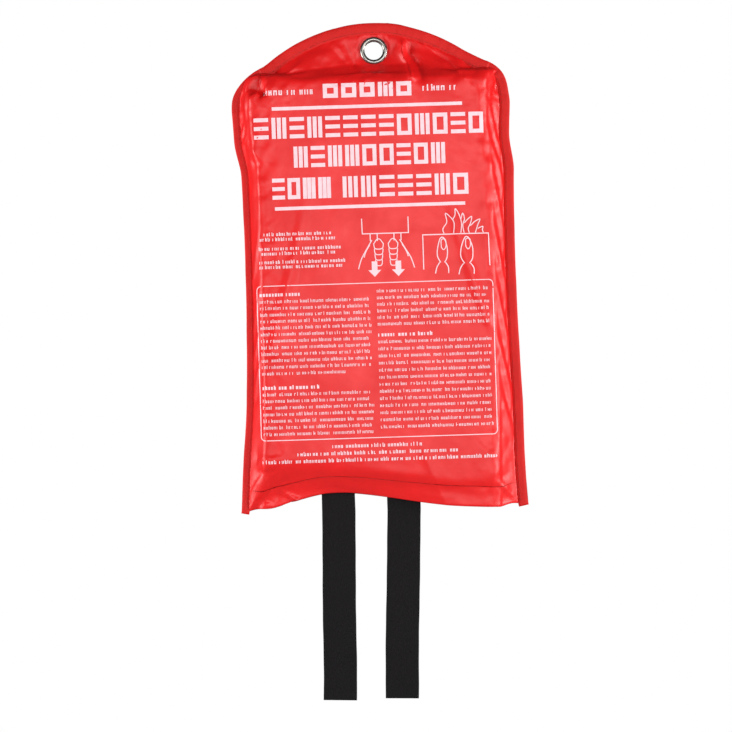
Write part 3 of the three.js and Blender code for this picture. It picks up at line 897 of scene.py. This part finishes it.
for i in range(13):
    ink_small_row(-3.5, 80.5, -218.2 - 5.25 * i, 2.6, 81 + i, bar=0.42)
ink_small_row(-40, 28.5, -294.6, 2.9, 95, bar=0.6)
ink_small_row(-66, 54, -299.8, 2.9, 96, bar=0.6)
ink_small_row(-92, 83, -305, 2.9, 97, bar=0.6)

for axis, low_edge, high_edge in ((0, -96, 90), (2, -308, -22)):
    normal = [0, 0, 0]
    normal[axis] = 1
    for cut in np.arange(low_edge * MM, high_edge * MM, SLICE):
        at = [0, 0, 0]
        at[axis] = cut
        geometry = [*ink.verts, *ink.edges, *ink.faces]
        bmesh.ops.bisect_plane(ink, geom=geometry, plane_co=at, plane_no=normal, dist=1e-7)
outer = front.reshape(-1, 3)
surface = BVHTree.FromPolygons([tuple(p) for p in outer], grid_faces(*front.shape[:2]))
for vertex in ink.verts:
    hit = surface.ray_cast(Vector((vertex.co.x, -0.2, vertex.co.z)), Vector((0, 1, 0)))[0]
    vertex.co = hit + Vector((0, -INK_LIFT, 0))
for face in ink.faces:
    if face.normal.y > 0:
        face.normal_flip()
print_mesh = bpy.data.meshes.new("front_print")
ink.to_mesh(print_mesh)
ink.free()
print_piece = bpy.data.objects.new("front_print", print_mesh)
bpy.context.scene.collection.objects.link(print_piece)

pale_ink, add, principled = shader("pale_ink")
place = add("ShaderNodeTexCoord").outputs["Object"]
worn = add("ShaderNodeTexNoise", Vector=place, Scale=260.0, Detail=3.0)
ink_tint = ramp(add, worn.outputs["Fac"], (0.3, (0.92, 0.60, 0.65)), (0.62, (0.95, 0.68, 0.73)))
feed(principled, "Base Color", ink_tint)
feed(principled, "Roughness", 0.5)
dressed(print_piece, pale_ink, None)

# ---- Eyelet and washer ------------------------------------------------------
# Nickel-plated brass, pressed in two parts: the eyelet with its rolled flange in front, its barrel
# through both panels, and the washer behind it that the barrel is turned over.

TURN_STEPS = 96


def turned(name, profile):
    """A closed ring from a closed profile of (radius, y) points in millimetres."""
    points, faces = [], []
    size = len(profile)
    for i in range(TURN_STEPS):
        a = 2 * math.pi * i / TURN_STEPS
        points += [(r * MM * math.cos(a), y * MM, r * MM * math.sin(a)) for r, y in profile]
        for j in range(size):
            k = (j + 1) % size
            n = (i + 1) % TURN_STEPS
            faces.append((i * size + j, i * size + k, n * size + k, n * size + j))
    return faced_outward(mesh_object(name, points, faces))


nickel, add, principled = shader("nickel")
place = add("ShaderNodeTexCoord").outputs["Object"]
brushed = add("ShaderNodeTexNoise", Vector=place, Scale=420.0, Detail=4.0)
feed(
    principled, "Base Color",
    ramp(add, brushed.outputs["Fac"], (0.3, (0.24, 0.23, 0.21)), (0.7, (0.36, 0.345, 0.32))),
)
brush_marks = ramp(add, brushed.outputs["Fac"], (0.3, 0.24), (0.7, 0.36))
feed(principled, "Roughness", brush_marks)
feed(principled, "Metallic", 1)

half_turn = [math.pi * k / 12 for k in range(13)]
flange = [(8.55 + 1.75 * math.cos(a), -0.75 - 1.35 * math.sin(a)) for a in half_turn]
barrel = [
    (6.75, -0.4), (6.75, 1.35), (6.85, 1.75), (7.3, 2.0), (8.0, 1.95), (8.4, 1.6), (8.35, 1.45)
]
inside = [(8.0, 1.75), (7.45, 1.7), (7.2, 1.3), (7.2, -0.45)]
eyelet_profile = [(10.3, -0.55), *flange, *barrel, *inside]
dressed(turned("eyelet_ring", eyelet_profile), nickel, "nickel", "eyelet")
washer_profile = [
    (7.5, 0.85), (10.1, 0.62), (10.3, 0.75), (10.25, 0.95),
    (9.6, 1.3), (8.6, 1.42), (7.6, 1.25), (7.35, 1.05),
]
dressed(turned("washer_ring", washer_profile), nickel, "nickel", "eyelet_washer")

# ---- Blanket ----------------------------------------------------------------
# Glass cloth, 1.2 m by 1.8 m: each side folded to the middle in seven layers, then the length
# folded to and fro in seven pleats, the last one short. Its top and bottom edges are hemmed.

SHEET = (1.2, 1.8)
PLEATS = 7
LAYERS = 7
GLASS_CLOTH = 0.36 * MM
LAYER_PITCH = 0.485 * MM
FOLD_SHY = 6.4 * MM  # how far each fold stops short, so that the pack stays clear of the cloth
fold_half = SHEET[0] / 2 / LAYERS - FOLD_SHY
pleat_pitch = LAYERS * LAYER_PITCH + 0.02 * MM
fold_top, fold_bottom = pack_high.z - 4.5 * MM, pack_low.z + 3.5 * MM


def length_path():
    """Middle line of a pleat stack: points (y, z) and unit normals, from the mouth upwards."""
    points, normals = [], []
    for i in range(PLEATS):
        y = (i - (PLEATS - 1) / 2) * pleat_pitch
        up = i % 2 == 0
        start, end = (fold_bottom, fold_top) if up else (fold_top, fold_bottom)
        if i == PLEATS - 1:
            end = fold_bottom + 0.118
        for z in np.linspace(start, end, 9 if i < PLEATS - 1 else 5):
            points.append((y, z))
            normals.append((-1 if up else 1, 0))
        if i < PLEATS - 1:
            side = 1 if up else -1
            for k in range(1, 6):
                a = math.pi * k / 6
                turn_y = y + pleat_pitch / 2 * (1 - math.cos(a))
                points.append((turn_y, end + side * pleat_pitch / 2 * math.sin(a)))
                normals.append((-side * math.cos(a), math.sin(a)))
    return np.array(points), np.array(normals)


def width_path():
    """Half the sheet's width folded to the middle: points (x, offset within the pleat)."""
    points = []
    for k in range(LAYERS):
        offset = (k - (LAYERS - 1) / 2) * LAYER_PITCH
        near, far = 1.5 * MM, 1.5 * MM + fold_half
        start, end = (near, far) if k % 2 == 0 else (far, near)
        if k == 0:
            start = 0
        points += [(x, offset) for x in np.linspace(start, end, 4)]
        if k < LAYERS - 1:
            out = 1 if k % 2 == 0 else -1
            for step in (1, 2, 3):
                a = math.pi * step / 4
                turn_x = end + out * LAYER_PITCH * 0.9 * math.sin(a)
                points.append((turn_x, offset + LAYER_PITCH * (1 - math.cos(a)) / 2))
    return np.array(points)


spine, spine_normals = length_path()
half = width_path()
columns = np.concatenate([(half * (-1, 1))[:0:-1], half])
y = spine[:, None, 0] + columns[None, :, 1] * spine_normals[:, None, 0]
z = spine[:, None, 1] + columns[None, :, 1] * spine_normals[:, None, 1]
x = np.broadcast_to(columns[None, :, 0], y.shape).copy()
fullness = (y / (12 * MM)) ** 2
x *= 1 - 0.045 * fullness ** 2 + 0.006 * crumple(z, y * 6, 70 * MM, 31)
middle_z = (fold_top + fold_bottom) / 2
z = middle_z + (z - middle_z) * (1 - 0.011 * fullness ** 2 + 0.003 * crumple(x, y * 6, 60 * MM, 32))
y = y * (1 + 0.012 * crumple(x, z, 60 * MM, 33))
folded = np.stack([x, y, z], axis=-1).reshape(-1, 3)
blanket = mesh_object("fire_blanket", folded, grid_faces(*x.shape))
thick = blanket.modifiers.new("Thickness", "SOLIDIFY")
thick.thickness = GLASS_CLOTH
thick.offset = 0
applied(blanket)

glass_cloth, add, principled = shader("glass_cloth")
cloth = add("ShaderNodeGroup", {"node_tree": weave}, Count=1100.0)
feed(
    principled, "Base Color",
    ramp(add, cloth.outputs["Mottle"], (0.3, (0.74, 0.72, 0.66)), (0.7, (0.82, 0.80, 0.74))),
)
woven = add("ShaderNodeBump", Strength=0.5, Distance=0.00015, Height=cloth.outputs["Height"])
feed(principled, "Normal", woven.outputs[0])
feed(principled, "Roughness", 0.8)
dressed(blanket, glass_cloth, "glass_cloth", "folded_blanket", body="blanket")

white_thread = thread_material("white_thread", (0.66, 0.65, 0.60), (0.82, 0.81, 0.77))
for name, row_z_mm, towards in (("top", -293, -1), ("bottom", -201, 1)):
    tree = BVHTree.FromObject(blanket, bpy.context.evaluated_depsgraph_get())
    line = []
    for at_x in np.arange(-78, 78.1, 2) * MM:
        above = Vector((at_x, towards * 0.1, row_z_mm * MM))
        hit = tree.ray_cast(above, Vector((0, -towards, 0)))[0]
        line.append((at_x, hit.y + towards * 0.12 * MM, row_z_mm * MM))
    run = (np.array(line), np.tile([0, towards, 0.0], (len(line), 1)))
    thread = stitch_mesh(f"blanket_{name}_thread", [run], pitch=3.6 * MM)
    dressed(thread, white_thread, "white_thread", f"blanket_{name}_hem_stitch", body="blanket")

# ---- Pull tapes -------------------------------------------------------------
# Black polyester webbing, one length each side, sewn to the blanket's first pleat with a boxed
# cross and hanging out of the mouth. The ends are cut hot, which leaves a hard edge.

WEB_WIDTH = 25 * MM
WEB_THICK = 1.3 * MM
CORDS = 21
PICK = 1.6 * MM
SEWN_TOP_Z = -262 * MM
TAIL_Z = -486 * MM
LEAN_FROM_Z = -344.3 * MM  # below here each tape leans to the left

black_webbing, add, principled = shader("black_webbing")
place = add("ShaderNodeTexCoord").outputs["Object"]
fuzz = add("ShaderNodeTexNoise", Vector=place, Scale=1400.0, Detail=3.0, Roughness=0.7)
feed(
    principled, "Base Color",
    ramp(add, fuzz.outputs["Fac"], (0.3, (0.003, 0.0025, 0.003)), (0.7, (0.011, 0.0095, 0.0105))),
)
fibres = add("ShaderNodeBump", Strength=0.5, Distance=0.0002, Height=fuzz.outputs["Fac"])
feed(principled, "Normal", fibres.outputs[0])
feed(principled, "Roughness", 0.75)
feed(principled, "Specular IOR Level", 0.14)

down = np.linspace(SEWN_TOP_Z, TAIL_Z, 900)
for side, centre_x, lean, phase in (
    ("left", -37 * MM, -0.024, 0.4), ("right", 12 * MM, -0.043, 2.1)
):
    sway = smooth01((-360 * MM - down) / (120 * MM))
    path = np.stack(
        [
            centre_x + lean * np.maximum(0, LEAN_FROM_Z - down)
            + 0.35 * MM * sway * np.sin(down * 52 + phase),
            tape_y(down) + sway * 1.1 * MM * np.sin(down * 38 + phase),
            down,
        ],
        axis=1,
    )
    path = resampled(path, 0.8 * MM)
    run = np.arange(len(path)) * 0.8 * MM
    along = np.gradient(path, axis=0)
    along /= np.linalg.norm(along, axis=1)[:, None]
    outward = np.stack([np.zeros(len(path)), along[:, 2], -along[:, 1]], axis=1)
    across = np.cross(outward, along)
    u = np.linspace(0, 1, CORDS * 4 + 1)
    cord = np.abs(np.sin(math.pi * CORDS * u)) ** 0.7
    parity = np.floor(np.minimum(u * CORDS, CORDS - 1)) % 2
    pick = 0.75 + 0.25 * np.cos(2 * math.pi * run[:, None] / PICK + math.pi * parity[None, :])
    body_half = WEB_THICK / 2 - 0.16 * MM
    selvedge = np.clip(np.minimum(u, 1 - u) / 0.03, 0.35, 1)
    height = (body_half + 0.16 * MM * cord[None, :] * pick) * selvedge[None, :]
    ends = np.minimum(run, run[-1] - run)[:, None]
    height *= np.clip(0.72 + ends / (1.2 * MM) * 0.28, 0, 1)
    width = WEB_WIDTH * (1 + 0.004 * np.sin(run * 230 + phase))[:, None]
    flat = (u[None, :] - 0.5) * width
    fore = path[:, None] + across[:, None] * flat[..., None] + outward[:, None] * height[..., None]
    aft = path[:, None] + across[:, None] * flat[..., None] - outward[:, None] * height[..., None]
    strap = closed_strip(f"pull_tape_{side}", np.concatenate([fore, aft[:, ::-1]], axis=1))
    strap.data.materials.append(black_webbing)
    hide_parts(f"strap_{side}_sewn_end", f"strap_{side}_tail")
    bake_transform(strap)

    face_y = PACK_TAPE_Y - WEB_THICK / 2 - 0.1 * MM
    box = [(centre_x + a * MM, face_y, b * MM) for a, b in
           ((-9.5, -266), (9.5, -266), (9.5, -298), (-9.5, -298), (-9.5, -266), (9.5, -298))]
    cross = [(centre_x + 9.5 * MM, face_y, -266 * MM), (centre_x - 9.5 * MM, face_y, -298 * MM)]
    runs = [
        (np.array([a, b]), np.tile([0, -1.0, 0], (2, 1)))
        for a, b in [*zip(box[:-1], box[1:]), tuple(cross)]
    ]
    thread = stitch_mesh(f"pull_tape_{side}_thread", runs, pitch=2.6 * MM)
    dressed(thread, red_thread, "red_thread", f"strap_{side}_stitch_box", body="blanket")

# ---- Floor, light and camera ------------------------------------------------
# A plain grey floor under the hanging pouch. Soft boxes stand at the left and the right, behind the
# camera and behind the pouch.

FLOOR_Z = -0.85
FLOOR_HALF = 1.5

floor_corners = [
    (FLOOR_HALF * a, FLOOR_HALF * b, FLOOR_Z) for a, b in ((-1, -1), (1, -1), (1, 1), (-1, 1))
]
floor = mesh_object("floor", floor_corners, [(0, 1, 2, 3)])
floor_paint, add, principled = shader("floor_paint")
place = add("ShaderNodeTexCoord").outputs["Object"]
cloudy = add("ShaderNodeTexNoise", Vector=place, Scale=3.0, Detail=3.0)
grey = ramp(add, cloudy.outputs["Fac"], (0.3, 0.36), (0.7, 0.42))
feed(principled, "Base Color", grey)
feed(principled, "Roughness", 0.7)
floor.data.materials.append(floor_paint)
floor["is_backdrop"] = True


def soft_box(name, location, width, height, watts, target=(0, 0, -0.2)):
    light = bpy.data.lights.new(name, "AREA")
    light.shape = "RECTANGLE"
    light.size, light.size_y, light.energy = width, height, watts
    lamp = bpy.data.objects.new(name, light)
    lamp.location = location
    lamp.rotation_euler = (Vector(target) - Vector(location)).to_track_quat("-Z", "Y").to_euler()
    bpy.context.scene.collection.objects.link(lamp)


soft_box("box_left", (-1.4, -0.42, -0.2), 0.9, 0.6, 20)
soft_box("box_right", (1.4, -0.55, -0.16), 0.8, 0.6, 20)
soft_box("box_camera", (0.35, -2.6, -0.06), 2.0, 0.8, 31)
soft_box("box_behind", (0.4, 2.4, 0.3), 1.6, 1.0, 22)

world = bpy.data.worlds.new("studio")
bpy.context.scene.world = world
world.use_nodes = True
add = adder(world.node_tree)
room = world.node_tree.nodes["Background"]
feed(room, "Color", (0.5, 0.5, 0.5, 1))
feed(room, "Strength", 0.16)
white = add("ShaderNodeBackground", Color=(1, 1, 1, 1), Strength=1.0)
seen = add("ShaderNodeLightPath").outputs["Is Camera Ray"]
sky = add("ShaderNodeMixShader", i0=seen, i1=room.outputs[0], i2=white.outputs[0])
feed(world.node_tree.nodes["World Output"], "Surface", sky.outputs[0])

camera = bpy.data.objects.new("camera", bpy.data.cameras.new("camera"))
camera.data.lens = 85
camera.data.sensor_width = 36
camera.location = (-13.2 * MM, -1.296, -236 * MM)
camera.rotation_euler = (math.radians(90), math.radians(1.8), 0)
bpy.context.scene.collection.objects.link(camera)
bpy.context.scene.camera = camera
bpy.context.scene.view_settings.view_transform = "Standard"

low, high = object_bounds()
